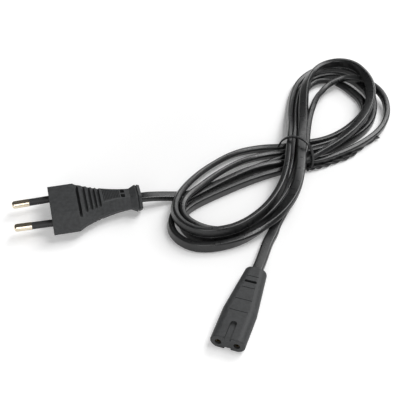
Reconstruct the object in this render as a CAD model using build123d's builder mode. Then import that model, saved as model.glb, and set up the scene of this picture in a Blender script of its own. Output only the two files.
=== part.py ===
"""Two-core mains lead: a flat two-pin plug, a flat cord wound in a figure-eight hank, and a
two-pole appliance connector.

Millimetres, +Z up. The lead lies on the plane Z = 0. The origin is the centre of the flat
underside of the plug's block, and the plug's pins point along -X.
"""

import math
import os

from build123d import *

# Plug block and the faces that meet the outlet
BLOCK_LENGTH = 13.0
PLUG_HEIGHT = 13.7
FACE_WIDTH = 35.0
FACE_FLAT_WIDTH = 21.8
LAND_HEIGHT = 2.0
EDGE_RADIUS = 0.6

# Plug grip, which sweeps in from the block's rear edge to a narrow neck
GRIP_LENGTH = 27.5
GRIP_STEP = 0.45
GRIP_SECTIONS = 10
WIDTH_CURVE = 2.2
FLAT_CURVE = 1.8
NECK_WIDTH = 13.4
NECK_FLAT_WIDTH = 6.6
NECK_HEIGHT = 8.8
NECK_LAND_HEIGHT = 1.2

# Collar that flares behind the neck, with a V groove in front of its end flange
COLLAR_LENGTH = 5.7
COLLAR_WIDTH = 16.5
COLLAR_FLAT_WIDTH = 8.6
COLLAR_HEIGHT = 11.0
COLLAR_FLARE = 3.0
FLANGE_LENGTH = 1.4
FLANGE_GROOVE_WIDTH = 0.8
FLANGE_GROOVE_DEPTH = 0.6
FLANGE_TAPER = 0.4

# Finger grooves and fine ribs across the grip
GROOVE_PITCHES = (1.5, 3.2, 2.6, 2.3, 2.2)
GROOVE_WIDTH = 1.5
GROOVE_DEPTH = 1.7
FIRST_GROOVE_EXTRA = 0.8
RIB_START = 14.1
RIB_COUNT = 11
RIB_PITCH = 0.8
RIB_WIDTH = 0.45
RIB_DEPTH = 0.5
RIB_MARGIN = 0.9
WINDOW_BEHIND_RIBS = 1.9
WINDOW_LENGTH = 2.0
WINDOW_WIDTH = 2.6
WINDOW_GAP = 0.9
WINDOW_DEPTH = 2.0

# Pins and their insulating sleeves
PIN_SPACING = 18.6
PIN_TIP_SPACING = 17.5
PIN_LENGTH = 19.0
PIN_DIAMETER = 4.0
PIN_TIP_RADIUS = 1.5
SHANK_DIAMETER = 3.0
SLEEVE_DIAMETER = 3.66
SLEEVE_LENGTH = 10.2
SLEEVE_EMBED = 2.5
SLEEVE_RELIEF = 0.3
SLEEVE_RELIEF_DEPTH = 0.4
CRIMP_DIAMETER = 3.4
CRIMP_LENGTH = 5.0

# Bridge that holds the pins inside the plug
BRIDGE_SETBACK = 3.0
BRIDGE_LENGTH = 7.5
BRIDGE_WIDTH = 25.0
BRIDGE_HEIGHT = 7.0
BRIDGE_RADIUS = 1.5

# Cord and its two cores
CORD_WIDTH = 5.4
CORD_THICKNESS = 3.2
CORD_CORNER_RADIUS = 1.0
CORE_DIAMETER = 2.0
CORE_SPACING = 2.4
CORD_GRIP = 5.0
CORD_STRAIGHT = 3.5

# Connector nose and body
CONTACT_SPACING = 8.6
NOSE_SIDE = 3.75
NOSE_HEIGHT = 7.7
NOSE_LENGTH = 19.0
CONNECTOR_LENGTH = 46.0
CONNECTOR_REAR_WIDTH = 10.6
CONNECTOR_REAR_RADIUS = 1.2
CONNECTOR_SIDE_LAND = 0.1
NOSE_CHAMFER = 0.4
ENTRY_DIAMETER = 3.0
ENTRY_DEPTH = 1.3
KEYWAY_WIDTH = 3.0
KEYWAY_LENGTH = 10.4
KEYWAY_DEPTH = 1.4
SLOT_FROM_REAR = 10.2
SLOT_LENGTH = 6.0
SLOT_WIDTH = 1.5
SLOT_DEPTH = 1.4
LINES_FROM_REAR = (6.7, 14.2, 21.9, 29.2)
LINE_LENGTHS = (5.8, 6.6, 7.8, 8.8)
LINE_WIDTH = 0.35
LINE_DEPTH = 0.25

# Contacts and their carrier inside the connector
CONTACT_BORE = 2.4
CONTACT_DIAMETER = 3.5
CONTACT_LENGTH = 12.5
CONTACT_END = 0.8
CONTACT_CRIMP_DIAMETER = 2.8
CONTACT_CRIMP_LENGTH = 4.5
CARRIER_END = 1.0
CARRIER_COVER = 0.45

# Where the connector lies: centre of its nose face, and the way its cord leaves
CONNECTOR_X = 59.9
CONNECTOR_Y = -101.5
CONNECTOR_YAW = 58.2

# Hank of cord: stations round each loop, an even number, on the inner and outer edge of the bundle
LEFT_OUTER = (
    (124, 31.5), (111, 34), (97, 31), (83, 23), (70, 11.5), (58, -2), (49.5, -16), (47.5, -29),
    (54, -39), (66, -43.8), (80, -43.6), (94, -38.5), (106, -29.5), (116, -18), (125, -3), (129, 14),
)
LEFT_INNER = (
    (115, 5), (103, 3.5), (90, -0.5), (77, -7), (67, -13.5), (63, -20.5), (68, -27.5),
    (79, -30), (91, -27.5), (102, -20), (111, -9), (116, 0),
)
RIGHT_OUTER = (
    (128, 26), (134, 46), (141, 66), (150, 84), (162, 97), (176, 103.5), (189, 102), (198.5, 93),
    (202, 80), (202.5, 65), (199.5, 50), (191, 35), (177, 23), (159, 14.5), (143, 10), (131, 14),
)
RIGHT_INNER = (
    (145, 33), (147, 46), (154, 62), (164, 73.5), (175, 78), (181, 71), (183, 58),
    (178, 46), (166, 36), (154, 32),
)
LEFT_HEIGHT = 9.8
RIGHT_HEIGHT = 12.5

# Tails of cord between the hank and the two ends
PLUG_TAIL_POINTS = ((55.5, 1.2, 3.1), (63.5, 1.8, 1.9))
CONNECTOR_TAIL_POINTS = ((92.0, -49.5, 2.2), (96.8, -40.5, 1.8), (102.5, -32.5, 1.7))

# Twist tie round the waist of the hank
TIE_X = 130.0
TIE_Y = 18.5
TIE_YAW = -64.0
TIE_SPAN = 27.0
TIE_TOP = 13.4
TIE_WIDTH = 1.6
TIE_THICKNESS = 0.9
TIE_CORNER_RADIUS = 4.0
TIE_TAIL_DIAMETER = 1.9
TIE_TAIL_POINTS = (
    (135.2, 7.6, 1.6), (141.5, 5.0, 1.3), (152.5, 7.2, 1.2), (163.5, 11.0, 1.2), (174.0, 16.6, 1.2),
)

# A tube's arc takes this share of its shorter run
ARC_SHARE = 0.45

PLUG_AXIS = PLUG_HEIGHT / 2
FACE_X = -BLOCK_LENGTH / 2
GRIP_X = BLOCK_LENGTH / 2
COLLAR_X = GRIP_X + GRIP_LENGTH
PLUG_END_X = COLLAR_X + COLLAR_LENGTH
CORD_START_X = PLUG_END_X - CORD_GRIP
NOSE_WIDTH = CONTACT_SPACING + 2 * NOSE_SIDE
CONNECTOR_AXIS = NOSE_HEIGHT / 2
CARRIER_HEIGHT = NOSE_HEIGHT - 2 * (KEYWAY_DEPTH + CARRIER_COVER)
CARRIER_WIDTH = CONTACT_SPACING + CARRIER_HEIGHT
TOE_IN = math.degrees(math.asin((PIN_SPACING - PIN_TIP_SPACING) / 2 / PIN_LENGTH))

# Connector frame: local X runs from the nose face to the cord
CONNECTOR_FRAME = Plane(
    origin=(CONNECTOR_X, CONNECTOR_Y, CONNECTOR_AXIS),
    x_dir=(math.cos(math.radians(CONNECTOR_YAW)), math.sin(math.radians(CONNECTOR_YAW)), 0),
    z_dir=(0, 0, 1),
)
POLES = (("line", 1), ("neutral", -1))
ON_END = (Align.CENTER, Align.CENTER, Align.MIN)
UNDER_END = (Align.CENTER, Align.CENTER, Align.MAX)


def section_plane(along):
    """Plane across the plug at a distance along X, with its origin on the plug's axis."""
    return Plane(origin=(along, 0, PLUG_AXIS), x_dir=(0, 1, 0), z_dir=(1, 0, 0))


def section_points(width, flat_width, height, land_height):
    """Corners of the plug's six-sided section, which has a narrow land along each side."""
    half = width / 2
    flat = flat_width / 2
    top = height / 2
    land = land_height / 2
    return (
        (-half, -land), (-half, land), (-flat, top), (flat, top),
        (half, land), (half, -land), (flat, -top), (-flat, -top),
    )


def grip_section(along):
    """Width, flat width, height and land height of the grip at a distance behind the block."""
    left = 1 - along / GRIP_LENGTH
    return (
        NECK_WIDTH + (FACE_WIDTH - NECK_WIDTH) * left**WIDTH_CURVE,
        NECK_FLAT_WIDTH + (FACE_FLAT_WIDTH - NECK_FLAT_WIDTH) * left**FLAT_CURVE,
        NECK_HEIGHT + (PLUG_HEIGHT - 2 * GRIP_STEP - NECK_HEIGHT) * left,
        NECK_LAND_HEIGHT + (LAND_HEIGHT - NECK_LAND_HEIGHT) * left,
    )


def collar_section(inset):
    """Width, flat width, height and land height of the collar, drawn in by an inset all round."""
    return (
        COLLAR_WIDTH - 2 * inset, COLLAR_FLAT_WIDTH - inset, COLLAR_HEIGHT - 2 * inset, NECK_LAND_HEIGHT,
    )


def connector_plane(along):
    """Plane across the connector at a distance behind its nose face."""
    origin = CONNECTOR_FRAME.from_local_coords(Vector(along, 0, 0))
    return Plane(origin=origin, x_dir=CONNECTOR_FRAME.y_dir, z_dir=CONNECTOR_FRAME.x_dir)


def level_plane(above):
    """Level plane at a height above the connector's axis, with local X along the connector."""
    return CONNECTOR_FRAME.offset(above)


def arc_radii(points):
    """Largest tangent arc at each inner point of a route, printed so that a tight one shows."""
    vectors = [Vector(*point) for point in points]
    radii = []
    for before, corner, after in zip(vectors, vectors[1:], vectors[2:]):
        arriving, leaving = corner - before, after - corner
        turn = math.radians(arriving.get_angle(leaving))
        radii.append(ARC_SHARE * min(arriving.length, leaving.length) / math.tan(turn / 2))
    print("tail radii", [round(radius, 1) for radius in radii])
    return radii


os.makedirs("parts", exist_ok=True)

# Pins, sleeves and the cores that feed them
pins, sleeves, plug_cores = {}, {}, {}
for pole, side in POLES:
    toe = math.radians(TOE_IN)
    pin_plane = Plane(
        origin=(FACE_X, side * PIN_SPACING / 2, PLUG_AXIS),
        x_dir=(0, 0, 1),
        z_dir=(-math.cos(toe), -side * math.sin(toe), 0),
    )
    embedded = BRIDGE_SETBACK + BRIDGE_LENGTH
    with BuildPart(pin_plane) as pin:
        with Locations((0, 0, SLEEVE_LENGTH)):
            Cylinder(PIN_DIAMETER / 2, PIN_LENGTH - SLEEVE_LENGTH, align=ON_END)
        fillet(pin.edges().sort_by(Axis.X)[0], PIN_TIP_RADIUS)
        with Locations((0, 0, -embedded)):
            Cylinder(SHANK_DIAMETER / 2, embedded + SLEEVE_LENGTH, align=ON_END)
            Cylinder(CRIMP_DIAMETER / 2, CRIMP_LENGTH, align=UNDER_END)
    pin.part.label = f"{pole}_pin"
    export_step(pin.part, f"parts/{pole}_pin.step")
    pins[pole] = pin.part

    with BuildPart(pin_plane) as sleeve:
        with Locations((0, 0, -SLEEVE_EMBED)):
            Cylinder(SLEEVE_DIAMETER / 2, SLEEVE_EMBED + SLEEVE_LENGTH, align=ON_END)
            Cylinder(SHANK_DIAMETER / 2, SLEEVE_EMBED + SLEEVE_LENGTH, align=ON_END, mode=Mode.SUBTRACT)
    sleeve.part.label = f"{pole}_pin_sleeve"
    export_step(sleeve.part, f"parts/{pole}_pin_sleeve.step")
    sleeves[pole] = sleeve.part

    crimp_end = pin_plane.from_local_coords(Vector(0, 0, -embedded - CRIMP_LENGTH))
    with BuildPart() as core:
        with BuildSketch(Plane(origin=crimp_end, x_dir=(0, 0, 1), z_dir=pin_plane.z_dir)):
            Circle(CORE_DIAMETER / 2)
        core_start = (CORD_START_X, side * CORE_SPACING / 2, PLUG_AXIS)
        with BuildSketch(Plane(origin=core_start, x_dir=(0, 0, 1), z_dir=(-1, 0, 0))):
            Circle(CORE_DIAMETER / 2)
        loft(ruled=True)
    core.part.label = f"plug_{pole}_core"
    export_step(core.part, f"parts/plug_{pole}_core.step")
    plug_cores[pole] = core.part

with BuildPart() as pin_bridge:
    with BuildSketch(Plane.YZ.offset(FACE_X + BRIDGE_SETBACK)):
        with Locations((0, PLUG_AXIS)):
            RectangleRounded(BRIDGE_WIDTH, BRIDGE_HEIGHT, BRIDGE_RADIUS)
    extrude(amount=BRIDGE_LENGTH)
    for pole, _ in POLES:
        add(pins[pole], mode=Mode.SUBTRACT)
pin_bridge.part.label = "pin_bridge"
export_step(pin_bridge.part, "parts/pin_bridge.step")

# Tails of cord, each starting inside the end that grips it
plug_bend = (PLUG_END_X + CORD_STRAIGHT, 0, PLUG_AXIS)
plug_route = ((CORD_START_X, 0, PLUG_AXIS), plug_bend, *PLUG_TAIL_POINTS)
with BuildPart() as plug_tail_full:
    with BuildLine():
        FilletPolyline(*plug_route, radius=arc_radii(plug_route))
    with BuildSketch(Plane(origin=plug_route[0], x_dir=(0, 1, 0), z_dir=(1, 0, 0))):
        RectangleRounded(CORD_WIDTH, CORD_THICKNESS, CORD_CORNER_RADIUS)
    sweep()

connector_start = tuple(CONNECTOR_FRAME.from_local_coords(Vector(CONNECTOR_LENGTH - CORD_GRIP, 0, 0)))
connector_exit = tuple(CONNECTOR_FRAME.from_local_coords(Vector(CONNECTOR_LENGTH, 0, 0)))
connector_bend = tuple(CONNECTOR_FRAME.from_local_coords(Vector(CONNECTOR_LENGTH + CORD_STRAIGHT, 0, 0)))
connector_route = (connector_start, connector_bend, *CONNECTOR_TAIL_POINTS)
with BuildPart() as connector_tail_full:
    with BuildLine():
        FilletPolyline(*connector_route, radius=arc_radii(connector_route))
    with BuildSketch(Plane(origin=connector_start, x_dir=CONNECTOR_FRAME.y_dir, z_dir=CONNECTOR_FRAME.x_dir)):
        RectangleRounded(CORD_WIDTH, CORD_THICKNESS, CORD_CORNER_RADIUS)
    sweep()

# Plug housing moulded over the bridge, the cores and the end of the cord
face_section = (FACE_WIDTH, FACE_FLAT_WIDTH, PLUG_HEIGHT, LAND_HEIGHT)
grip_stations = [GRIP_LENGTH * number / GRIP_SECTIONS for number in range(GRIP_SECTIONS + 1)]
grip_sections = [(GRIP_X + along, grip_section(along)) for along in grip_stations]
flange_x = PLUG_END_X - FLANGE_LENGTH
collar_sections = (
    (COLLAR_X, grip_section(GRIP_LENGTH)),
    (COLLAR_X + COLLAR_FLARE, collar_section(0)),
    (flange_x - FLANGE_GROOVE_WIDTH, collar_section(0)),
    (flange_x - FLANGE_GROOVE_WIDTH / 2, collar_section(FLANGE_GROOVE_DEPTH)),
    (flange_x, collar_section(0)),
    (PLUG_END_X, collar_section(FLANGE_TAPER)),
)
with BuildPart() as plug_body:
    with BuildSketch(section_plane(FACE_X)) as face_outline:
        with BuildLine():
            Polyline(*section_points(*face_section), close=True)
        make_face()
        fillet(face_outline.vertices(), EDGE_RADIUS)
    extrude(amount=BLOCK_LENGTH)
    for sections in (grip_sections, collar_sections):
        for along, size in sections:
            with BuildSketch(section_plane(along)) as outline:
                with BuildLine():
                    Polyline(*section_points(*size), close=True)
                make_face()
                fillet(outline.vertices(), EDGE_RADIUS)
        loft(ruled=True)
    groove_at = 0
    with BuildSketch(Plane.XZ) as grooves:
        for number, pitch in enumerate(GROOVE_PITCHES):
            groove_at += pitch
            depth = GROOVE_DEPTH + (FIRST_GROOVE_EXTRA if number == 0 else 0)
            _, _, height, _ = grip_section(groove_at)
            with Locations((GRIP_X + groove_at, PLUG_AXIS)):
                with GridLocations(0, height - 2 * depth + 2 * GROOVE_WIDTH, 1, 2):
                    SlotOverall(2 * GROOVE_WIDTH, GROOVE_WIDTH, rotation=90)
    extrude(amount=FACE_WIDTH / 2, both=True, mode=Mode.SUBTRACT)
    for number in range(RIB_COUNT):
        rib_at = RIB_START + number * RIB_PITCH
        _, flat_width, height, _ = grip_section(rib_at)
        with BuildSketch(Plane.XZ):
            with Locations((GRIP_X + rib_at, PLUG_AXIS)):
                with GridLocations(0, height, 1, 2):
                    Rectangle(RIB_WIDTH, 2 * RIB_DEPTH)
        extrude(amount=flat_width / 2 - RIB_MARGIN, both=True, mode=Mode.SUBTRACT)
    window_at = RIB_START + (RIB_COUNT - 1) * RIB_PITCH + WINDOW_BEHIND_RIBS
    _, _, height, _ = grip_section(window_at)
    window_floor = height / 2 - WINDOW_DEPTH
    for way in (1, -1):
        with BuildSketch(Plane.XY.offset(PLUG_AXIS + way * window_floor)):
            with Locations((GRIP_X + window_at, 0)):
                with GridLocations(0, WINDOW_WIDTH + WINDOW_GAP, 1, 2):
                    Rectangle(WINDOW_LENGTH, WINDOW_WIDTH)
        extrude(amount=way * PLUG_HEIGHT / 2, mode=Mode.SUBTRACT)
    with BuildSketch(section_plane(FACE_X)):
        with GridLocations(PIN_SPACING, 0, 2, 1):
            Circle(SLEEVE_DIAMETER / 2 + SLEEVE_RELIEF)
    extrude(amount=SLEEVE_RELIEF_DEPTH, mode=Mode.SUBTRACT)
    add(pin_bridge.part, mode=Mode.SUBTRACT)
    for pole, _ in POLES:
        add(pins[pole], mode=Mode.SUBTRACT)
        add(sleeves[pole], mode=Mode.SUBTRACT)
        add(plug_cores[pole], mode=Mode.SUBTRACT)
    add(plug_tail_full.part, mode=Mode.SUBTRACT)
plug_body.part.label = "plug_body"
export_step(plug_body.part, "parts/plug_body.step")

# Contacts and the cores that feed them, held in a carrier
contacts, connector_cores = {}, {}
for pole, side in POLES:
    contact_plane = Plane(
        origin=CONNECTOR_FRAME.from_local_coords(Vector(ENTRY_DEPTH, side * CONTACT_SPACING / 2, 0)),
        x_dir=(0, 0, 1),
        z_dir=CONNECTOR_FRAME.x_dir,
    )
    with BuildPart(contact_plane) as contact:
        Cylinder(CONTACT_DIAMETER / 2, CONTACT_LENGTH, align=ON_END)
        Cylinder(CONTACT_BORE / 2, CONTACT_LENGTH - CONTACT_END, align=ON_END, mode=Mode.SUBTRACT)
        with Locations((0, 0, CONTACT_LENGTH)):
            Cylinder(CONTACT_CRIMP_DIAMETER / 2, CONTACT_CRIMP_LENGTH, align=ON_END)
    contact.part.label = f"{pole}_contact"
    export_step(contact.part, f"parts/{pole}_contact.step")
    contacts[pole] = contact.part

    crimp_at = ENTRY_DEPTH + CONTACT_LENGTH + CONTACT_CRIMP_LENGTH
    with BuildPart() as core:
        for along, spacing in ((crimp_at, CONTACT_SPACING), (CONNECTOR_LENGTH - CORD_GRIP, CORE_SPACING)):
            with BuildSketch(connector_plane(along)):
                with Locations((side * spacing / 2, 0)):
                    Circle(CORE_DIAMETER / 2)
        loft(ruled=True)
    core.part.label = f"connector_{pole}_core"
    export_step(core.part, f"parts/connector_{pole}_core.step")
    connector_cores[pole] = core.part

with BuildPart() as contact_carrier:
    with BuildSketch(connector_plane(ENTRY_DEPTH)):
        SlotOverall(CARRIER_WIDTH, CARRIER_HEIGHT)
        with GridLocations(CONTACT_SPACING, 0, 2, 1):
            Circle(CONTACT_DIAMETER / 2, mode=Mode.SUBTRACT)
    extrude(amount=CONTACT_LENGTH)
    with BuildSketch(connector_plane(ENTRY_DEPTH + CONTACT_LENGTH)):
        SlotOverall(CARRIER_WIDTH, CARRIER_HEIGHT)
        with GridLocations(CONTACT_SPACING, 0, 2, 1):
            Circle(CONTACT_CRIMP_DIAMETER / 2, mode=Mode.SUBTRACT)
    extrude(amount=CARRIER_END)
contact_carrier.part.label = "contact_carrier"
export_step(contact_carrier.part, "parts/contact_carrier.step")

# Connector housing moulded over the carrier, the cores and the end of the cord
with BuildPart() as connector_body:
    with BuildSketch(CONNECTOR_FRAME):
        with BuildLine():
            Polyline(
                (0, NOSE_WIDTH / 2),
                (NOSE_LENGTH, NOSE_WIDTH / 2),
                (CONNECTOR_LENGTH, CONNECTOR_REAR_WIDTH / 2),
                (CONNECTOR_LENGTH, -CONNECTOR_REAR_WIDTH / 2),
                (NOSE_LENGTH, -NOSE_WIDTH / 2),
                (0, -NOSE_WIDTH / 2),
                close=True,
            )
        make_face()
    extrude(amount=NOSE_HEIGHT / 2, both=True)
    along_connector = Axis(connector_exit, CONNECTOR_FRAME.x_dir)
    end_faces = connector_body.faces().sort_by(along_connector)
    level_edges = connector_body.edges().filter_by(Plane.XY)
    side_edges = [edge for edge in level_edges if edge not in end_faces[0].edges() + end_faces[-1].edges()]
    fillet(side_edges, NOSE_HEIGHT / 2 - CONNECTOR_SIDE_LAND / 2)
    end_faces = connector_body.faces().sort_by(along_connector)
    fillet(end_faces[-1].edges(), CONNECTOR_REAR_RADIUS)
    end_faces = connector_body.faces().sort_by(along_connector)
    chamfer(end_faces[0].edges(), NOSE_CHAMFER)
    for way in (1, -1):
        with BuildSketch(level_plane(way * (NOSE_HEIGHT / 2 - KEYWAY_DEPTH))):
            SlotOverall(2 * KEYWAY_LENGTH, KEYWAY_WIDTH)
        extrude(amount=way * NOSE_HEIGHT, mode=Mode.SUBTRACT)
    slot_at = CONNECTOR_LENGTH - SLOT_FROM_REAR
    with BuildSketch(level_plane(NOSE_HEIGHT / 2 - SLOT_DEPTH)):
        with Locations((slot_at, 0)):
            SlotOverall(SLOT_LENGTH, SLOT_WIDTH, rotation=90)
    extrude(amount=NOSE_HEIGHT, mode=Mode.SUBTRACT)
    for from_rear, length in zip(LINES_FROM_REAR, LINE_LENGTHS):
        line_at = CONNECTOR_LENGTH - from_rear
        with BuildSketch(level_plane(NOSE_HEIGHT / 2 - LINE_DEPTH)):
            with Locations((line_at, 0)):
                Rectangle(LINE_WIDTH, length)
        extrude(amount=NOSE_HEIGHT, mode=Mode.SUBTRACT)
    with BuildSketch(connector_plane(0)):
        with GridLocations(CONTACT_SPACING, 0, 2, 1):
            Circle(ENTRY_DIAMETER / 2)
    extrude(amount=ENTRY_DEPTH, mode=Mode.SUBTRACT)
    with BuildSketch(connector_plane(ENTRY_DEPTH)):
        SlotOverall(CARRIER_WIDTH, CARRIER_HEIGHT)
    extrude(amount=CONTACT_LENGTH + CARRIER_END, mode=Mode.SUBTRACT)
    for pole, _ in POLES:
        add(contacts[pole], mode=Mode.SUBTRACT)
        add(connector_cores[pole], mode=Mode.SUBTRACT)
    add(connector_tail_full.part, mode=Mode.SUBTRACT)
connector_body.part.label = "connector_body"
export_step(connector_body.part, "parts/connector_body.step")

# Hank of cord as one closed solid, trimmed where the tie holds it
tie_along = math.radians(TIE_YAW)
tie_plane = Plane(
    origin=(TIE_X, TIE_Y, TIE_TOP / 2),
    x_dir=(math.cos(tie_along), math.sin(tie_along), 0),
    z_dir=(math.sin(tie_along), -math.cos(tie_along), 0),
)
inner_span = TIE_SPAN - 2 * TIE_THICKNESS
inner_height = TIE_TOP - 2 * TIE_THICKNESS
inner_radius = TIE_CORNER_RADIUS - TIE_THICKNESS
with BuildPart() as cord_hank:
    for outer, inner, height in (
        (LEFT_OUTER, LEFT_INNER, LEFT_HEIGHT), (RIGHT_OUTER, RIGHT_INNER, RIGHT_HEIGHT),
    ):
        with BuildSketch():
            for outline, mode in ((outer, Mode.ADD), (inner, Mode.SUBTRACT)):
                with BuildLine():
                    for first, middle, last in zip(outline[::2], outline[1::2], outline[2::2] + outline[:1]):
                        ThreePointArc(first, middle, last)
                make_face(mode=mode)
        extrude(amount=height)
    with BuildSketch(tie_plane):
        Rectangle(2 * TIE_SPAN, 2 * TIE_TOP)
        RectangleRounded(inner_span, inner_height, inner_radius, mode=Mode.SUBTRACT)
    extrude(amount=TIE_WIDTH / 2, both=True, mode=Mode.SUBTRACT)
cord_hank.part.label = "cord_hank"
export_step(cord_hank.part, "parts/cord_hank.step")

with BuildPart() as twist_tie:
    with BuildSketch(tie_plane):
        RectangleRounded(TIE_SPAN, TIE_TOP, TIE_CORNER_RADIUS)
        RectangleRounded(inner_span, inner_height, inner_radius, mode=Mode.SUBTRACT)
    extrude(amount=TIE_WIDTH / 2, both=True)
    with BuildLine() as tie_route:
        FilletPolyline(*TIE_TAIL_POINTS, radius=arc_radii(TIE_TAIL_POINTS))
    with BuildSketch(Plane(origin=TIE_TAIL_POINTS[0], z_dir=tie_route.line % 0)):
        Circle(TIE_TAIL_DIAMETER / 2)
    sweep()
twist_tie.part.label = "twist_tie"
export_step(twist_tie.part, "parts/twist_tie.step")

for name, tail in (("plug_tail", plug_tail_full), ("connector_tail", connector_tail_full)):
    with BuildPart() as free_tail:
        add(tail.part)
        add(cord_hank.part, mode=Mode.SUBTRACT)
    free_tail.part.label = name
    export_step(free_tail.part, f"parts/{name}.step")
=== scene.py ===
"""Looks of a two-core mains lead: plug, flat cord wound in a tied figure-eight hank, and connector.

Metres, +Z up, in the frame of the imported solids. The lead lies on the plane Z = 0, the origin is
the centre of the underside of the plug's block, and the plug's pins point along -X.
"""

import logging
import math
from dataclasses import dataclass
from enum import Enum

import bpy
import numpy as np
from mathutils import Euler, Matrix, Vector


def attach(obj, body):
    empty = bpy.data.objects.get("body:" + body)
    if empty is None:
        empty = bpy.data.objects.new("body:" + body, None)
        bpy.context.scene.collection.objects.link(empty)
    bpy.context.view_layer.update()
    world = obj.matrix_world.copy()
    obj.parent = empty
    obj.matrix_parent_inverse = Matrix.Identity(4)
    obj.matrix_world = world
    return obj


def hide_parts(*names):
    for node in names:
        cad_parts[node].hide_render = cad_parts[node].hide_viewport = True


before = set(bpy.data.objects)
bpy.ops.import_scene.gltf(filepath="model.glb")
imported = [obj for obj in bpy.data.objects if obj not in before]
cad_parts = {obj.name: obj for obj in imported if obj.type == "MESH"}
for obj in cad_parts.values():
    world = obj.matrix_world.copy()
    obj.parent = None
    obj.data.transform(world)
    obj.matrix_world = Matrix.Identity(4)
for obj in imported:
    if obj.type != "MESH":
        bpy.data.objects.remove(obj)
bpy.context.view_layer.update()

Socket = bpy.types.NodeSocket
Point = tuple[float, float, float]
Colour = tuple[float, float, float]
Span = tuple[float, float]

LOG = logging.getLogger("mains_lead")
MM = 0.001
BODY = "root"


class Loop(Enum):
    """The two loops of the figure-eight hank."""

    LEFT = "left"
    RIGHT = "right"


class Coordinates(Enum):
    """What a material's pattern is laid out on."""

    OBJECT = "Object"
    LENGTH = "UV"


class Ramp(Enum):
    """How a value passes from one end of a range to the other."""

    STRAIGHT = "LINEAR"
    SMOOTH = "SMOOTHSTEP"


class Operation(Enum):
    """What a maths node does with its two values."""

    TIMES = "MULTIPLY"
    LARGER = "MAXIMUM"
    POWER = "POWER"


# Shader building


def maths(
    tree: bpy.types.NodeTree, operation: Operation, first: Socket, second: Socket | float,
) -> Socket:
    """A maths node.

    Args:
        tree: The tree that it joins.
        operation: What it does.
        first: Its first value.
        second: Its second value, from a socket or fixed.

    Returns:
        The socket that carries the result.
    """
    node = tree.nodes.new("ShaderNodeMath")
    node.operation = operation.value
    tree.links.new(first, node.inputs[0])
    if isinstance(second, Socket):
        tree.links.new(second, node.inputs[1])
    else:
        node.inputs[1].default_value = second
    return node.outputs[0]


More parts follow.
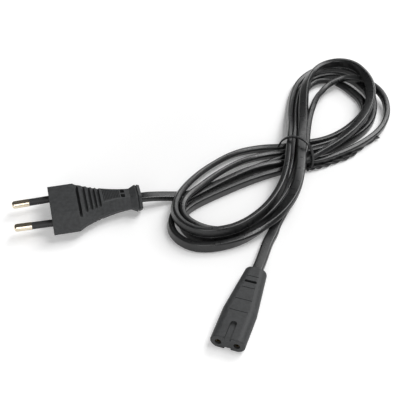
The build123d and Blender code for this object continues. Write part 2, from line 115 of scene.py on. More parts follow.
class Shader:
    """A material under construction, with short calls for the nodes that the finishes share."""

    # Most of a noise field lies between these values
    NOISE_RANGE = (0.3, 0.7)

    def __init__(self, name: str) -> None:
        """Starts a material with one surface shader.

        Args:
            name: The material's name.
        """
        self.material = bpy.data.materials.new(name)
        self.material.use_nodes = True
        self.tree = self.material.node_tree
        self.nodes = self.tree.nodes
        self.links = self.tree.links
        self.surface = self.nodes["Principled BSDF"]

    def coordinates(
        self, kind: Coordinates = Coordinates.OBJECT, stretch: Point = (1.0, 1.0, 1.0),
    ) -> Socket:
        """Texture coordinates, stretched along each axis.

        Args:
            kind: The layout that the coordinates follow.
            stretch: Pattern repeats per unit along each axis.

        Returns:
            The socket that carries the vector.
        """
        source = self.nodes.new("ShaderNodeTexCoord")
        mapping = self.nodes.new("ShaderNodeMapping")
        mapping.inputs["Scale"].default_value = stretch
        self.links.new(source.outputs[kind.value], mapping.inputs["Vector"])
        return mapping.outputs["Vector"]

    def noise(self, vector: Socket, scale: float, detail: float) -> Socket:
        """A noise field.

        Args:
            vector: The coordinates that it reads.
            scale: Features per unit of the coordinates.
            detail: Octaves of finer noise.

        Returns:
            The socket that carries the value.
        """
        node = self.nodes.new("ShaderNodeTexNoise")
        node.inputs["Scale"].default_value = scale
        node.inputs["Detail"].default_value = detail
        self.links.new(vector, node.inputs["Vector"])
        return node.outputs["Fac"]

    def ranged(self, value: Socket, given: Span, wanted: Span, ramp: Ramp) -> Socket:
        """Carries a value from one range to another.

        Args:
            value: The value.
            given: The range that it comes in.
            wanted: The range that it leaves in.
            ramp: How it passes between the ends.

        Returns:
            The socket that carries the new value.
        """
        node = self.nodes.new("ShaderNodeMapRange")
        node.interpolation_type = ramp.value
        node.inputs["From Min"].default_value, node.inputs["From Max"].default_value = given
        node.inputs["To Min"].default_value, node.inputs["To Max"].default_value = wanted
        self.links.new(value, node.inputs["Value"])
        return node.outputs["Result"]

    def spread(self, value: Socket, low: float, high: float) -> Socket:
        """Spreads the middle of a noise field over a range.

        Args:
            value: The field.
            low: What its dark parts become.
            high: What its bright parts become.

        Returns:
            The socket that carries the spread value.
        """
        return self.ranged(value, self.NOISE_RANGE, (low, high), Ramp.STRAIGHT)

    def rising(self, middle: Point, reach: Span, span: Span) -> Socket:
        """A value that changes smoothly with the distance from a point.

        Args:
            middle: The point, in metres.
            reach: Distances at which the change starts and ends.
            span: The value within the first distance, and past the second.

        Returns:
            The socket that carries the value.
        """
        source = self.nodes.new("ShaderNodeTexCoord")
        away = self.nodes.new("ShaderNodeVectorMath")
        away.operation = "DISTANCE"
        away.inputs[1].default_value = middle
        self.links.new(source.outputs[Coordinates.OBJECT.value], away.inputs[0])
        return self.ranged(away.outputs["Value"], reach, span, Ramp.SMOOTH)

    def blend(self, factor: Socket, first: Colour, second: Colour) -> Socket:
        """Blends two colours.

        Args:
            factor: How much of the second colour shows.
            first: Linear red, green and blue.
            second: Linear red, green and blue.

        Returns:
            The socket that carries the colour.
        """
        node = self.nodes.new("ShaderNodeMix")
        node.data_type = "RGBA"
        colours = [socket for socket in node.inputs if socket.type == "RGBA"]
        colours[0].default_value = (*first, 1.0)
        colours[1].default_value = (*second, 1.0)
        self.links.new(factor, node.inputs["Factor"])
        return next(socket for socket in node.outputs if socket.type == "RGBA")

    def bump(
        self, height: Socket, depth: float, strength: float, under: Socket | None = None,
    ) -> Socket:
        """Relief from a height field.

        Args:
            height: The field.
            depth: Height of its full range in metres.
            strength: How strongly it turns the surface.
            under: Relief that this one lies on.

        Returns:
            The socket that carries the normal.
        """
        node = self.nodes.new("ShaderNodeBump")
        node.inputs["Distance"].default_value = depth
        node.inputs["Strength"].default_value = strength
        self.links.new(height, node.inputs["Height"])
        if under is not None:
            self.links.new(under, node.inputs["Normal"])
        return node.outputs["Normal"]

    def seen_only(self, value: Socket) -> Socket:
        """A value for what the camera, mirrors and glass see, and nothing for light that falls on.

        Args:
            value: The value that they see.

        Returns:
            The socket that carries it.
        """
        rays = self.nodes.new("ShaderNodeLightPath")
        seen = rays.outputs["Is Camera Ray"]
        for kind in ("Is Glossy Ray", "Is Transmission Ray"):
            seen = maths(self.tree, Operation.LARGER, seen, rays.outputs[kind])
        return maths(self.tree, Operation.TIMES, seen, value)

    def set(self, **values: object) -> None:
        """Sets sockets of the surface shader.

        Args:
            values: A value, or a socket to link, for each name, given with _ for a space.
        """
        for name, value in values.items():
            socket = self.surface.inputs[name.replace("_", " ")]
            if isinstance(value, Socket):
                self.links.new(value, socket)
            else:
                socket.default_value = value


# Finishes


@dataclass(frozen=True)
class MouldedPlastic:
    """Soft moulded plastic with the fine matt grain of a spark-eroded mould."""

    name: str
    colour: Colour
    pale: Colour
    roughness: float = 0.58
    grain_per_metre: float = 2600.0
    grain_depth: float = 0.00014
    grain_strength: float = 0.5
    cloud_per_metre: float = 700.0
    glossier: float = 0.05
    duller: float = 0.07
    specular: float = 0.42

    def material(self) -> bpy.types.Material:
        """Builds the material.

        Returns:
            The material, on the place in the piece.
        """
        shader = Shader(self.name)
        place = shader.coordinates()
        grain = shader.noise(place, self.grain_per_metre, detail=3.0)
        cloud = shader.noise(place, self.cloud_per_metre, detail=4.0)
        shader.set(
            Base_Color=shader.blend(shader.spread(cloud, 0.0, 1.0), self.colour, self.pale),
            Roughness=shader.spread(
                cloud, self.roughness - self.glossier, self.roughness + self.duller,
            ),
            Normal=shader.bump(grain, self.grain_depth, self.grain_strength),
            Specular_IOR_Level=self.specular,
        )
        return shader.material


@dataclass(frozen=True)
class DrawnMetal:
    """Metal drawn along X, with faint draw lines and a thin plate over it."""

    name: str
    colour: Colour
    worn: Colour
    roughness: float = 0.2
    lines_per_metre: float = 1800.0
    line_stretch: Point = (0.06, 1.0, 1.0)
    line_depth: float = 0.00002
    line_strength: float = 0.2
    wear_per_metre: float = 320.0
    glossier: float = 0.05
    duller: float = 0.08

    def material(self) -> bpy.types.Material:
        """Builds the material.

        Returns:
            The material, on the place in the piece.
        """
        shader = Shader(self.name)
        along = shader.coordinates(stretch=self.line_stretch)
        lines = shader.noise(along, self.lines_per_metre, detail=2.0)
        wear = shader.noise(shader.coordinates(), self.wear_per_metre, detail=3.0)
        shader.set(
            Base_Color=shader.blend(shader.spread(wear, 0.0, 1.0), self.colour, self.worn),
            Metallic=1.0,
            Roughness=shader.spread(
                lines, self.roughness - self.glossier, self.roughness + self.duller,
            ),
            Normal=shader.bump(lines, self.line_depth, self.line_strength),
        )
        return shader.material


@dataclass(frozen=True)
class CordSheath:
    """Satin sheath of the cord, with draw lines along its length and duller patches."""

    name: str
    colour: Colour
    pale: Colour
    roughness: float = 0.31
    line_stretch: Point = (6.0, 60.0, 1.0)
    line_depth: float = 0.00005
    line_strength: float = 0.05
    patch_stretch: Point = (60.0, 3.0, 1.0)
    grain_per_metre: float = 1900.0
    grain_depth: float = 0.00003
    grain_strength: float = 0.03
    glossier: float = 0.06
    duller: float = 0.08
    specular: float = 0.6

    def material(self) -> bpy.types.Material:
        """Builds the material.

        Returns:
            The material, on the length and the girth of the cord.
        """
        shader = Shader(self.name)
        drawn = shader.coordinates(Coordinates.LENGTH, self.line_stretch)
        patch = shader.coordinates(Coordinates.LENGTH, self.patch_stretch)
        lines = shader.noise(drawn, 1.0, detail=2.0)
        dull = shader.noise(patch, 1.0, detail=3.0)
        grain = shader.noise(shader.coordinates(), self.grain_per_metre, detail=2.0)
        fine = shader.bump(grain, self.grain_depth, self.grain_strength)
        shader.set(
            Base_Color=shader.blend(shader.spread(dull, 0.0, 1.0), self.colour, self.pale),
            Roughness=shader.spread(
                dull, self.roughness - self.glossier, self.roughness + self.duller,
            ),
            Normal=shader.bump(lines, self.line_depth, self.line_strength, fine),
            Specular_IOR_Level=self.specular,
        )
        return shader.material


HOUSING = MouldedPlastic("housing_plastic", (0.030, 0.031, 0.032), (0.050, 0.052, 0.054))
SLEEVE = MouldedPlastic(
    "sleeve_plastic", (0.022, 0.022, 0.023), (0.028, 0.028, 0.029), roughness=0.46,
    grain_depth=0.00002,
)
CARRIER = MouldedPlastic(
    "carrier_plastic", (0.07, 0.07, 0.07), (0.09, 0.09, 0.09), roughness=0.5, grain_depth=0.00002,
)
LINE_CORE = MouldedPlastic(
    "line_core_insulation", (0.16, 0.07, 0.03), (0.19, 0.09, 0.04), roughness=0.45,
)
NEUTRAL_CORE = MouldedPlastic(
    "neutral_core_insulation", (0.03, 0.10, 0.32), (0.04, 0.12, 0.36), roughness=0.45,
)
TIE_SKIN = MouldedPlastic(
    "tie_plastic", (0.018, 0.018, 0.019), (0.024, 0.024, 0.025), roughness=0.4,
    grain_per_metre=1500.0, grain_depth=0.00003,
)
PIN_PLATE = DrawnMetal(
    "pin_nickel_plate", (0.80, 0.73, 0.60), (0.68, 0.58, 0.43), roughness=0.15,
)
# Brass darkened far below its real colour: painted shade for contacts that sit deep in their holes.
CONTACT_BRASS_PAINTED_SHADE = DrawnMetal(
    "contact_brass_painted_shade", (0.30, 0.21, 0.09), (0.22, 0.15, 0.06), roughness=0.4,
)
SHEATH = CordSheath("cord_sheath", (0.0095, 0.010, 0.0105), (0.0145, 0.015, 0.0155))

NODE_FINISHES = {
    HOUSING: ("plug_body", "connector_body"),
    SLEEVE: ("line_pin_sleeve", "neutral_pin_sleeve"),
    CARRIER: ("pin_bridge", "contact_carrier"),
    LINE_CORE: ("plug_line_core", "connector_line_core"),
    NEUTRAL_CORE: ("plug_neutral_core", "connector_neutral_core"),
    PIN_PLATE: ("line_pin", "neutral_pin"),
    CONTACT_BRASS_PAINTED_SHADE: ("line_contact", "neutral_contact"),
}


# Lines and swept skins


SPLINE_ORDER = 3
SAME_POINT = 1e-9
# Metres of a skin's length to one unit of its map
MAP_LENGTH = 0.1


def read_spline(points: np.ndarray, steps: int, closed: bool = False) -> np.ndarray:
    """Points along a smooth line.

    Args:
        points: Control points, one row each.
        steps: Points to read for each control point.
        closed: Whether the line runs back to its start.

    Returns:
        The points of a NURBS spline over those control points.
    """
    curve = bpy.data.curves.new("route", "CURVE")
    curve.dimensions = "3D"
    curve.resolution_u = steps
    spline = curve.splines.new("NURBS")
    spline.points.add(len(points) - 1)
    for control, point in zip(spline.points, points):
        control.co = (*point, 1.0)
    spline.order_u = SPLINE_ORDER
    spline.use_endpoint_u = not closed
    spline.use_cyclic_u = closed
    holder = bpy.data.objects.new("route", curve)
    bpy.context.scene.collection.objects.link(holder)
    graph = bpy.context.evaluated_depsgraph_get()
    mesh = bpy.data.meshes.new_from_object(holder.evaluated_get(graph))
    line = np.array([vertex.co[:] for vertex in mesh.vertices])
    bpy.data.objects.remove(holder)
    bpy.data.curves.remove(curve)
    bpy.data.meshes.remove(mesh)
    return line


def directions(line: np.ndarray, closed: bool = False) -> np.ndarray:
    """Unit direction of travel at each point of a line.

    Args:
        line: The points.
        closed: Whether the line runs back to its start.

    Returns:
        One unit vector for each point.
    """
    if closed:
        travel = np.roll(line, -1, axis=0) - np.roll(line, 1, axis=0)
    else:
        travel = np.gradient(line, axis=0)
    return travel / np.linalg.norm(travel, axis=1)[:, None]


def lengths_along(line: np.ndarray) -> np.ndarray:
    """Distance from the start of a line to each of its points."""
    steps = np.linalg.norm(np.diff(line, axis=0), axis=1)
    return np.concatenate([[0.0], np.cumsum(steps)])


def flat_section(width: float, thickness: float, corner: float, steps: int) -> np.ndarray:
    """Outline of a flat section with round corners.

    Args:
        width: Size along the first axis.
        thickness: Size along the second axis.
        corner: Corner radius.
        steps: Segments in each corner.

    Returns:
        Points of the outline, anticlockwise, centred on the origin.
    """
    points = []
    across, up = width / 2 - corner, thickness / 2 - corner
    for quarter, (side, level) in enumerate(((1, 1), (-1, 1), (-1, -1), (1, -1))):
        for step in range(steps + 1):
            turn = math.radians(90 * quarter + 90 * step / steps)
            x = side * across + corner * math.cos(turn)
            y = level * up + corner * math.sin(turn)
            points.append((x, y))
    kept = [point for i, point in enumerate(points) if math.dist(point, points[i - 1]) > SAME_POINT]
    return np.array(kept)


def swept_skin(
    name: str, line: np.ndarray, across: np.ndarray, section: np.ndarray, closed: bool = False,
) -> bpy.types.Object:
    """Skin of a flat section carried along a line.

    Args:
        name: Name of the piece.
        line: Points of the line, in metres.
        across: Unit vector along the section's first axis at each point.
        section: Outline of the section.
        closed: Whether the line runs back to its start.

    Returns:
        The piece, smooth, with a map of its length and girth.
    """
    above = np.cross(directions(line, closed), across)
    rings = (
        line[:, None, :]
        + section[None, :, :1] * across[:, None, :]
        + section[None, :, 1:] * above[:, None, :]
    )
    count, sides = len(line), len(section)
    faces = []
    for ring in range(count if closed else count - 1):
        here, there = ring * sides, (ring + 1) % count * sides
        for side in range(sides):
            beside = (side + 1) % sides
            faces.append((here + side, here + beside, there + beside, there + side))
    if not closed:
        faces.append(tuple(reversed(range(sides))))
        faces.append(tuple(range((count - 1) * sides, count * sides)))
    mesh = bpy.data.meshes.new(name)
    mesh.from_pydata(rings.reshape(-1, 3).tolist(), [], faces)
    along = lengths_along(line) / MAP_LENGTH
    girth = lengths_along(np.vstack([section, section[:1]]))
    girth /= girth[-1]
    layer = mesh.uv_layers.new(name="length_and_girth")
    for face in mesh.polygons:
        in_wall = len(face.vertices) == 4
        face.use_smooth = in_wall
        for loop in face.loop_indices:
            ring, side = divmod(mesh.loops[loop].vertex_index, sides)
            at_seam = in_wall and side == 0 and face.index % sides == sides - 1
            layer.data[loop].uv = (along[ring], 1.0 if at_seam else girth[side])
    piece = bpy.data.objects.new(name, mesh)
    bpy.context.scene.collection.objects.link(piece)
    return piece


# The hank


# Degrees of lean at which the cord lies flat
FLAT = 180.0


@dataclass(frozen=True)
class Station:
    """A line across one loop of the hank, in millimetres."""

    inner: tuple[float, float]
    outer: tuple[float, float]

    def at(self, lane: float, height: float) -> Point:
        """A point of the line.

        Args:
            lane: Hundredths of the way from the inner to the outer end.
            height: Height above the floor in millimetres.

        Returns:
            The point in millimetres.
        """
        share = lane / 100
        x = self.inner[0] + (self.outer[0] - self.inner[0]) * share
        y = self.inner[1] + (self.outer[1] - self.inner[1]) * share
        return (x, y, height)


@dataclass(frozen=True)
class HalfTurn:
    """One pass of the cord round a loop: its lane, its height and its lean at each station.

    A lean of 90 stands on edge. Below it the upper edge leans into the loop, above it outwards.
    """

    loop: Loop
    lanes: tuple[float, ...]
    heights: tuple[float, ...]
    leans: tuple[float, ...]

    def points(self) -> list[tuple[float, ...]]:
        """Control points of the pass.

        Returns:
            X, Y and Z in millimetres and the lean in degrees, seen along the cord.
        """
        passed = zip(STATIONS[self.loop], self.lanes, self.heights, self.leans)
        mirrored = self.loop is Loop.LEFT
        return [
            (*station.at(lane, height), FLAT - lean if mirrored else lean)
            for station, lane, height, lean in passed
        ]


@dataclass(frozen=True)
class Crossing:
    """Where an end of the cord passes under the left loop: its station, lane, height and lean."""

    station: int
    lane: float
    height: float
    lean: float

    def point(self) -> tuple[float, ...]:
        """Control point of the crossing, in millimetres, with the lean in degrees."""
        return (*STATIONS[Loop.LEFT][self.station].at(self.lane, self.height), self.lean)


STATIONS = {
    Loop.LEFT: (
        Station((121.5, 24), (139.5, 17)), Station((114.5, 4), (133.5, -3)),
        Station((106.5, -8), (122.5, -20)), Station((94.5, -18.5), (106.5, -34.5)),
        Station((81, -26), (87, -46)), Station((72, -25.2), (67, -48.2)),
        Station((67.5, -22), (52.5, -44)), Station((64.5, -19.5), (43.5, -29.5)),
        Station((63.3, -15), (44.3, -13)), Station((66.5, -11.5), (52.5, 4.5)),
        Station((78, -7.5), (63, 16.5)), Station((91, -1.5), (77, 25.5)),
        Station((103.5, 4), (95.5, 35)), Station((114.5, 8), (112.5, 36)),
        Station((126.5, 9), (126.5, 33)),
    ),
    Loop.RIGHT: (
        Station((138.5, 33), (138.5, 8)), Station((150.5, 34), (154.5, 11)),
        Station((161.5, 40), (171.5, 18)), Station((170.5, 48), (187.5, 29)),
        Station((175.7, 57), (198.7, 43)), Station((178.2, 65), (205.2, 60)),
        Station((178.5, 72), (205.5, 76)), Station((176.5, 78), (201.5, 98)),
        Station((173, 80.5), (188, 113.5)), Station((166.2, 81.3), (167.2, 114.3)),
        Station((159.8, 78), (146.8, 103)), Station((153.7, 71.3), (135.7, 85.3)),
        Station((150, 60), (130, 69)), Station((146.2, 48), (126.2, 54)),
        Station((143.5, 37), (124.5, 41)),
    ),
}

HALF_TURNS = (
    HalfTurn(
        Loop.RIGHT,
        lanes=(50, 52, 56, 57, 55, 54, 61, 66, 61, 55, 47, 42, 47, 52, 57),
        heights=(2.8, 2.8, 2.8, 2.8, 2.8, 2.8, 2.8, 2.8, 2.8, 2.8, 2.8, 2.8, 3.2, 5.6, 9),
        leans=(76, 80, 88, 92, 90, 86, 82, 78, 74, 68, 64, 66, 70, 72, 75),
    ),
    HalfTurn(
        Loop.LEFT,
        lanes=(30, 26, 32, 42, 44, 46, 46, 46, 48, 54, 68, 80, 83, 82, 79),
        heights=(11.2, 10.8, 9.4, 8.3, 8.1, 8.1, 8.1, 8.1, 8.1, 7.4, 5.4, 3.6, 3, 2.8, 2.8),
        leans=(80, 82, 84, 85, 85, 84, 82, 80, 75, 60, 50, 47, 50, 60, 72),
    ),
    HalfTurn(
        Loop.RIGHT,
        lanes=(19, 23, 30, 36, 40, 43, 45, 43, 38, 34, 31, 27, 31, 35, 42),
        heights=(2.8, 2.8, 4, 6.2, 6.6, 5, 3.2, 2.8, 2.8, 2.8, 2.8, 2.8, 3, 4.8, 6.8),
        leans=(76, 80, 78, 70, 66, 70, 74, 72, 70, 66, 64, 66, 70, 72, 75),
    ),
    HalfTurn(
        Loop.LEFT,
        lanes=(42, 35, 30, 34, 32, 33, 33, 31, 28, 31, 37, 49, 56, 58, 60),
        heights=(7.5, 6.7, 4.4, 2.8, 3.4, 5.8, 7.6, 8.1, 8.3, 8.4, 7.8, 5.8, 3.4, 2.8, 2.8),
        leans=(76, 80, 84, 85, 85, 84, 82, 80, 75, 60, 50, 47, 50, 60, 72),
    ),
    HalfTurn(
        Loop.RIGHT,
        lanes=(40, 40, 41, 42, 37, 28, 19, 16, 19, 23, 19, 11, 6, 8, 12),
        heights=(2.8, 2.7, 2.3, 2, 1.9, 1.9, 1.9, 2, 2.4, 2.7, 2.8, 2.9, 3, 4.8, 6.6),
        leans=(66, 44, 22, 12, 10, 10, 10, 14, 30, 45, 55, 62, 66, 70, 75),
    ),
    HalfTurn(
        Loop.LEFT,
        lanes=(61, 50, 44, 46, 42, 44, 42, 36, 28, 18, 17, 12, 7, 2, 5),
        heights=(7.5, 6.7, 4.2, 2.8, 2.8, 2.8, 2.8, 2.8, 2.8, 2.8, 2.8, 2.8, 2.8, 2.8, 2.8),
        leans=(76, 80, 84, 85, 85, 85, 85, 84, 82, 80, 80, 78, 74, 68, 60),
    ),
    HalfTurn(
        Loop.RIGHT,
        lanes=(80, 64, 53, 45, 43, 44, 46, 47, 44, 37, 19, 9, 11, 14, 19),
        heights=(6.4, 8.2, 9.4, 10.6, 11.5, 12.2, 12.8, 12.4, 10.8, 9.4, 9, 9, 9.4, 10.2, 11.2),
        leans=(128, 148, 160, 165, 162, 148, 124, 100, 82, 62, 42, 31, 23, 16, 8),
    ),
    HalfTurn(
        Loop.LEFT,
        lanes=(62, 61, 71, 76, 67, 67, 68, 67, 57, 41, 32, 25, 20, 18, 22),
        heights=(11.7, 10.6, 8.2, 5.6, 3.6, 2.8, 2.8, 2.8, 2.8, 2.9, 3.8, 5.4, 5.9, 4.6, 2.8),
        leans=(180, 186, 176, 142, 104, 88, 84, 82, 76, 70, 72, 76, 78, 78, 78),
    ),
    HalfTurn(
        Loop.RIGHT,
        lanes=(88, 83, 84, 86, 84, 76, 54, 24, 2, -14, -23, -26, -15, -4, 6),
        heights=(2.8, 2.8, 2.8, 2.8, 3, 5.4, 7.6, 7, 5.6, 4.8, 4.8, 5.8, 6.8, 7, 6.8),
        leans=(96, 102, 106, 104, 98, 84, 62, 50, 50, 56, 64, 68, 70, 72, 75),
    ),
)


@dataclass
class FlatCord:
    """The flat two-core cord, from the plug round the hank to the connector. Millimetres."""

    width: float = 5.4
    thickness: float = 3.2
    corner: float = 1.0
    exit: Point = (39.7, 0.0, 6.85)
    inside_plug: Point = (36.5, 0.0, 6.85)
    plug_tail: tuple[Point, ...] = (
        (45, 0.3, 6.3), (51, 0.9, 4.8), (57, 1.5, 3.1), (63.5, 1.4, 1.8),
    )
    plug_under: tuple[Crossing, ...] = (
        Crossing(10, 44, 1.7, 178), Crossing(11, 35, 1.8, 176), Crossing(12, 29, 2, 168),
        Crossing(13, 36, 2.6, 140), Crossing(14, 46, 2.8, 105),
    )
    connector_under: tuple[Crossing, ...] = (
        Crossing(0, 78, 7.3, 92), Crossing(1, 60, 5, 115), Crossing(2, 57, 2.7, 150),
        Crossing(3, 74, 1.8, 172),
    )
    connector_tail: tuple[Point, ...] = (
        (100.8, -35.6, 1.7), (96.2, -41.5, 1.8), (92.0, -49.0, 2.3), (88.2, -55.9, 3.1),
    )
    connector_exit: Point = (84.14, -62.4, 3.85)
    inside_connector: Point = (82.5, -65.0, 3.85)
    corner_steps: int = 5
    steps_per_point: int = 6

    def route(self) -> np.ndarray:
        """Control points of the cord's line, from the plug to the connector.

        Returns:
            A row for each point: X, Y and Z in millimetres and the lean in degrees.
        """
        start = (self.inside_plug, self.exit, *self.plug_tail)
        end = (*self.connector_tail, self.connector_exit, self.inside_connector)
        route = [(*point, FLAT) for point in start]
        route += [crossing.point() for crossing in self.plug_under]
        for turn in HALF_TURNS:
            route += turn.points()
        route += [crossing.point() for crossing in self.connector_under]
        route += [(*point, FLAT) for point in end]
        return np.array(route)

    def build(self) -> bpy.types.Object:
        """Makes the cord along its route.

        Returns:
            The cord, which stands for the plain solids of its tails and its hank.
        """
        route = self.route()
        line = read_spline(route[:, :3] * MM, self.steps_per_point)
        leans = np.pad(np.radians(route[:, 3:]), ((0, 0), (0, 2)))
        lean = read_spline(leans, self.steps_per_point)[:, :1]
        travel = directions(line)
        level = np.cross((0.0, 0.0, 1.0), travel)
        level /= np.linalg.norm(level, axis=1)[:, None]
        across = np.cos(lean) * level + np.sin(lean) * np.cross(travel, level)
        section = flat_section(self.width, self.thickness, self.corner, self.corner_steps) * MM
        cord = swept_skin("cord", line, across, section)
        cord.data.materials.append(SHEATH.material())
        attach(cord, BODY)
        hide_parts("plug_tail", "connector_tail", "cord_hank")
        return cord


# The tie


WIRE_SIDES = 12


def twisted_pair_tree() -> bpy.types.NodeTree:
    """Geometry nodes that lay two wires twisted round each other along a path.

    Returns:
        The tree, with inputs for the wires' radius, their spacing, the turns, the power of the
        length that the turns follow, below 1 for a tighter start, and the material.
    """
    tree = bpy.data.node_groups.new("twisted_pair", "GeometryNodeTree")
    tree.interface.new_socket("Path", in_out="INPUT", socket_type="NodeSocketGeometry")
    for name in ("Wire Radius", "Spacing", "Turns", "Turn Power"):
        tree.interface.new_socket(name, in_out="INPUT", socket_type="NodeSocketFloat")
    tree.interface.new_socket("Finish", in_out="INPUT", socket_type="NodeSocketMaterial")
    tree.interface.new_socket("Wires", in_out="OUTPUT", socket_type="NodeSocketGeometry")
    nodes, link = tree.nodes, tree.links.new
    given = nodes.new("NodeGroupInput")
    made = nodes.new("NodeGroupOutput")

    path = nodes.new("GeometryNodeMeshToCurve")
    link(given.outputs["Path"], path.inputs["Mesh"])
    place = nodes.new("GeometryNodeSplineParameter")
    share = maths(tree, Operation.POWER, place.outputs["Factor"], given.outputs["Turn Power"])
    whole = maths(tree, Operation.TIMES, given.outputs["Turns"], math.tau)
    tilt = nodes.new("GeometryNodeSetCurveTilt")
    link(path.outputs["Curve"], tilt.inputs["Curve"])
    link(maths(tree, Operation.TIMES, share, whole), tilt.inputs["Tilt"])

    ring = nodes.new("GeometryNodeCurvePrimitiveCircle")
    ring.inputs["Resolution"].default_value = WIRE_SIDES
    link(given.outputs["Wire Radius"], ring.inputs["Radius"])
    pair = nodes.new("GeometryNodeJoinGeometry")
    for side in (0.5, -0.5):
        vector = nodes.new("ShaderNodeCombineXYZ")
        link(maths(tree, Operation.TIMES, given.outputs["Spacing"], side), vector.inputs["X"])
        move = nodes.new("GeometryNodeTransform")
        link(ring.outputs["Curve"], move.inputs["Geometry"])
        link(vector.outputs[0], move.inputs["Translation"])
        link(move.outputs[0], pair.inputs[0])

    sweep = nodes.new("GeometryNodeCurveToMesh")
    sweep.inputs["Fill Caps"].default_value = True
    link(tilt.outputs["Curve"], sweep.inputs["Curve"])
    link(pair.outputs[0], sweep.inputs["Profile Curve"])
    smooth = nodes.new("GeometryNodeSetShadeSmooth")
    link(sweep.outputs[0], smooth.inputs["Geometry"])
    realize = nodes.new("GeometryNodeRealizeInstances")
    link(smooth.outputs[0], realize.inputs[0])
    finish = nodes.new("GeometryNodeSetMaterial")
    link(realize.outputs[0], finish.inputs["Geometry"])
    link(given.outputs["Finish"], finish.inputs["Material"])
    link(finish.outputs[0], made.inputs["Wires"])
    return tree


def run_tree(
    name: str, base: bpy.types.Mesh, tree: bpy.types.NodeTree, inputs: dict[str, object],
) -> bpy.types.Object:
    """Runs geometry nodes on a mesh and keeps the result as a plain mesh.

    Args:
        name: Name of the piece.
        base: What the tree starts from.
        tree: The geometry nodes.
        inputs: Values for the tree's named inputs.

    Returns:
        The piece, with no modifier left on it.
    """
    piece = bpy.data.objects.new(name, base)
    bpy.context.scene.collection.objects.link(piece)
    modifier = piece.modifiers.new(tree.name, "NODES")
    modifier.node_group = tree
    for socket in tree.interface.items_tree:
        if socket.in_out == "INPUT" and socket.name in inputs:
            modifier[socket.identifier] = inputs[socket.name]
    graph = bpy.context.evaluated_depsgraph_get()
    result = bpy.data.meshes.new_from_object(piece.evaluated_get(graph))
    piece.modifiers.remove(modifier)
    piece.data = result
    result.name = name
    return piece


@dataclass
class TwistTie:
    """The wire tie round the waist of the hank, with its two ends twisted together. Millimetres."""

    band_width: float = 1.9
    band_thickness: float = 1.0
    band_corner: float = 0.49
    band_corner_steps: int = 3
    band_steps: int = 8
    band_points: tuple[Point, ...] = (
        (122.6, 27, 6), (122.6, 25, 10.2), (124.4, 22.6, 14.4), (128.2, 20.9, 15.8),
        (131.8, 17.6, 16.6), (134.6, 13.2, 15.4), (136.2, 11.2, 11), (136.6, 9.6, 6.6),
        (136, 8.6, 2.6), (133.6, 10.5, 0.6), (130.5, 16.5, 0.6), (127, 24, 0.6),
        (124, 30, 0.8), (122.4, 29.5, 3),
    )
    end_steps: int = 10
    end_points: tuple[Point, ...] = (
        (132.8, 8.6, 1.5), (135.5, 8.6, 1.9), (139, 8.9, 1.6), (143.9, 9.9, 1.4),
        (151.7, 12.2, 1.3), (156.7, 13.3, 1.3), (161.4, 15.2, 1.2), (168, 20, 1.2),
        (175, 24.5, 1.2), (182, 27.5, 1.6),
    )
    wire_radius: float = 0.62
    wire_spacing: float = 1.15
    turns: float = 4.5
    turn_power: float = 0.7

    def band(self) -> bpy.types.Object:
        """Makes the band round the waist.

        Returns:
            The band, bare.
        """
        line = read_spline(np.array(self.band_points) * MM, self.band_steps, closed=True)
        travel = directions(line, closed=True)
        outward = line - line.mean(axis=0)
        across = np.cross(travel, outward)
        across /= np.linalg.norm(across, axis=1)[:, None]
        section = flat_section(
            self.band_width, self.band_thickness, self.band_corner, self.band_corner_steps,
        )
        return swept_skin("tie_band", line, across, section * MM, closed=True)

    def ends(self, material: bpy.types.Material) -> bpy.types.Object:
        """Makes the two ends, twisted together.

        Args:
            material: What they are made of.

        Returns:
            The ends.
        """
        path = read_spline(np.array(self.end_points) * MM, self.end_steps)
        base = bpy.data.meshes.new("tie_path")
        base.from_pydata(path.tolist(), [(step, step + 1) for step in range(len(path) - 1)], [])
        return run_tree("tie_ends", base, twisted_pair_tree(), {
            "Wire Radius": self.wire_radius * MM,
            "Spacing": self.wire_spacing * MM,
            "Turns": self.turns,
            "Turn Power": self.turn_power,
            "Finish": material,
        })

    def build(self) -> list[bpy.types.Object]:
        """Makes the tie.

        Returns:
            Its two pieces, which stand for the tie's plain solid.
        """
        material = TIE_SKIN.material()
        band = self.band()
        band.data.materials.append(material)
        ends = self.ends(material)
        for piece in (band, ends):
            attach(piece, BODY)
        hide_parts("twist_tie")
        return [band, ends]


# The rigid pieces


class Mouldings:
    """The plug, the connector and what is inside them, which keep their own solids."""

    def dress(self) -> list[bpy.types.Object]:
        """Gives each node its finish.

        Returns:
            The dressed nodes.
        """
        dressed = []
        for finish, names in NODE_FINISHES.items():
            material = finish.material()
            for name in names:
                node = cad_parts[name]
                node.data.materials.clear()
                node.data.materials.append(material)
                dressed.append(node)
        return dressed


# The studio


def aimed(place: Point, aim: Point) -> Euler:
    """Turn of a lamp or a camera that looks from one point at another."""
    return (Vector(aim) - Vector(place)).to_track_quat("-Z", "Y").to_euler()


@dataclass(frozen=True)
class Lamp:
    """A soft square lamp that looks at the middle of the lead. Metres and watts."""

    name: str
    place: Point
    size: float
    power: float

    def build(self, aim: Point) -> None:
        """Hangs the lamp.

        Args:
            aim: The point that it faces.
        """
        data = bpy.data.lights.new(self.name, "AREA")
        data.shape = "SQUARE"
        data.size = self.size
        data.energy = self.power
        lamp = bpy.data.objects.new(self.name, data)
        lamp.location = self.place
        lamp.rotation_euler = aimed(self.place, aim)
        bpy.context.scene.collection.objects.link(lamp)


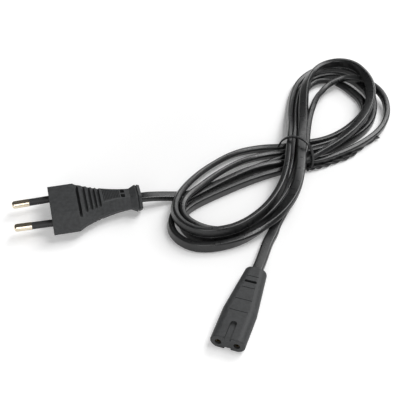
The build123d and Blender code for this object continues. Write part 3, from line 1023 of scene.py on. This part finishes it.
@dataclass
class Studio:
    """Camera, lamps, pale floor and a little even light. Metres, and the lens in millimetres."""

    eye: Point = (-0.0070, -0.3374, 0.3004)
    aim: Point = (0.0709, -0.0012, 0.0)
    lens: float = 78.25
    sensor: float = 36.0
    nearest: float = 0.01
    floor_size: float = 24.0
    floor_colour: Colour = (0.86, 0.86, 0.86)
    floor_roughness: float = 0.9
    floor_specular: float = 0.1
    # Glow that only the camera, mirrors and glass see: low near the lead as painted shade round it,
    # full far from it.
    floor_glow_with_painted_shade: Span = (0.17, 1.0)
    painted_shade_middle: Point = (0.13, 0.02, 0.0)
    painted_shade_reach: Span = (0.05, 0.40)
    ambient: float = 0.10
    lamps: tuple[Lamp, ...] = (
        Lamp("key", (0.75, 0.36, 0.78), 0.6, 6.4),
        Lamp("top", (0.45, -0.12, 0.92), 0.4, 3.6),
        Lamp("back", (0.50, 0.80, 0.52), 0.35, 0.9),
        Lamp("front", (-0.20, -0.80, 0.42), 0.6, 3.2),
    )

    def camera(self) -> None:
        """Sets the camera at the viewpoint of the photograph."""
        data = bpy.data.cameras.new("camera")
        data.lens = self.lens
        data.sensor_width = self.sensor
        data.clip_start = self.nearest
        camera = bpy.data.objects.new("camera", data)
        camera.location = self.eye
        camera.rotation_euler = aimed(self.eye, self.aim)
        bpy.context.scene.collection.objects.link(camera)
        bpy.context.scene.camera = camera

    def floor(self) -> None:
        """Lays a pale floor that keeps the lead's shadow, with its glow dimmed near the lead as
        painted shade round it.
        """
        half = self.floor_size / 2
        mesh = bpy.data.meshes.new("floor")
        corners = [(-half, -half, 0), (half, -half, 0), (half, half, 0), (-half, half, 0)]
        mesh.from_pydata(corners, [], [(0, 1, 2, 3)])
        floor = bpy.data.objects.new("floor", mesh)
        bpy.context.scene.collection.objects.link(floor)
        shader = Shader("floor_paper")
        # The floor's glow falls towards the middle of the lead: painted shade round the lead.
        glow = shader.rising(self.painted_shade_middle, self.painted_shade_reach, self.floor_glow_with_painted_shade)
        shader.set(
            Base_Color=(*self.floor_colour, 1.0),
            Roughness=self.floor_roughness,
            Specular_IOR_Level=self.floor_specular,
            Emission_Color=(1.0, 1.0, 1.0, 1.0),
            Emission_Strength=shader.seen_only(glow),
        )
        mesh.materials.append(shader.material)

    def surroundings(self) -> None:
        """Fills the world with a little even light."""
        world = bpy.data.worlds.new("studio")
        bpy.context.scene.world = world
        world.use_nodes = True
        background = world.node_tree.nodes["Background"]
        background.inputs["Color"].default_value = (1.0, 1.0, 1.0, 1.0)
        background.inputs["Strength"].default_value = self.ambient

    def build(self) -> None:
        """Sets up the whole studio."""
        bpy.context.scene.view_settings.view_transform = "Standard"
        self.camera()
        self.floor()
        self.surroundings()
        for lamp in self.lamps:
            lamp.build(self.aim)


def main() -> None:
    """Builds the lead and its studio, in order."""
    logging.basicConfig(level=logging.INFO, format="%(name)s: %(message)s")
    Studio().build()
    pieces = [FlatCord().build(), *TwistTie().build(), *Mouldings().dress()]
    for piece in pieces:
        finish = piece.data.materials[0].name
        LOG.info("%s: %d faces in %s", piece.name, len(piece.data.polygons), finish)


if __name__ == "__main__":
    main()
